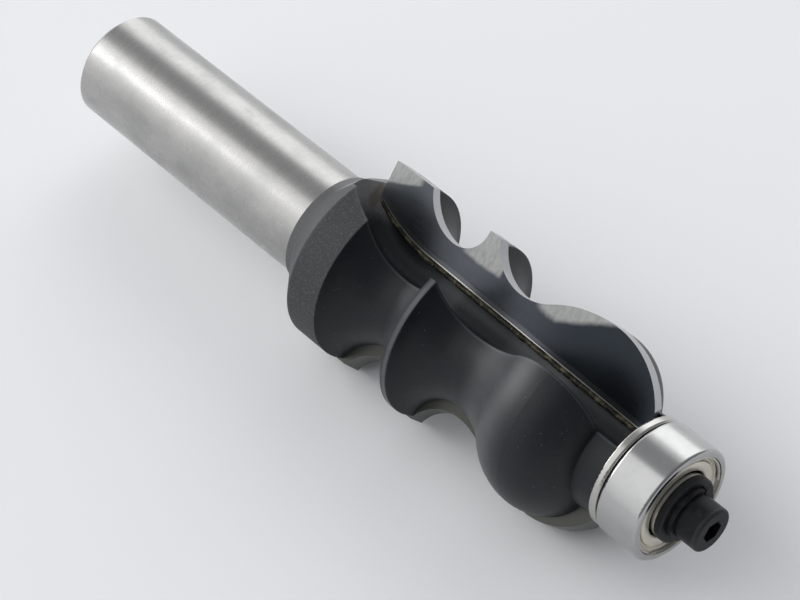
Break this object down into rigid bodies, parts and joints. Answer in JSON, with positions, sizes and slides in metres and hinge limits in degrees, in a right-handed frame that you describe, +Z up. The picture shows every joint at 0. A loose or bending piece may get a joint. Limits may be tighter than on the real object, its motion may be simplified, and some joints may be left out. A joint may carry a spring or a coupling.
{
  "type": "router bit",
  "caption": "Profile router bit with carbide cutting edges, deep chip gullets, a round shank and a ball-bearing guide held by a cap screw.",
  "frame": {"origin": "middle of the shank's plain length, on the tool axis", "axes": "+X along the tool axis from the shank's end to the guide bearing, +Z up with the bit lying as it comes to rest on one cutting edge and the heel of the other wing"},
  "size_m": [0.0881, 0.02, 0.02],
  "materials": {
    "black_steel": "matt black coating over the blasted steel body, with the shank left as bare ground steel",
    "carbide": "fine-ground dark grey tungsten carbide",
    "braze": "dull speckled braze line",
    "bright_steel": "bright turned steel",
    "bearing_steel": "polished bearing steel",
    "shield": "pale pressed shield",
    "spring_wire": "round spring wire",
    "cage_steel": "pressed steel cage",
    "black_oxide": "black oxide steel"
  },
  "bodies": {
    "cutter": {"cutter_body": "black_steel", "carbide_tip_a": "carbide", "carbide_tip_b": "carbide", "braze_seam_a": "braze", "braze_seam_b": "braze", "spacer_disc": "bright_steel", "bearing_inner_ring": "bearing_steel", "flat_washer": "black_oxide", "lock_washer": "black_oxide", "cap_screw": "black_oxide"},
    "outer_ring": {"bearing_outer_ring": "bearing_steel", "bearing_shield_rear": "shield", "bearing_shield_front": "shield", "snap_ring_rear": "spring_wire", "snap_ring_front": "spring_wire"},
    "ball_cage": {"ball_1": "bearing_steel", "ball_2": "bearing_steel", "ball_3": "bearing_steel", "ball_4": "bearing_steel", "ball_5": "bearing_steel", "ball_6": "bearing_steel", "ball_7": "bearing_steel", "cage_half_rear": "cage_steel", "cage_half_front": "cage_steel", "cage_rivets": "cage_steel"}
  },
  "joints": [
    {"name": "outer_ring_spin", "type": "hinge", "parent": "cutter", "child": "outer_ring", "pos_m": [0.06385, 0, 0], "axis": [1, 0, 0], "continuous": true},
    {"name": "ball_cage_spin", "type": "hinge", "parent": "cutter", "child": "ball_cage", "pos_m": [0.06385, 0, 0], "axis": [1, 0, 0], "continuous": true}
  ],
  "couplings": [
    {"joint": "ball_cage_spin", "follows": "outer_ring_spin", "ratio": 0.6363}
  ]
}
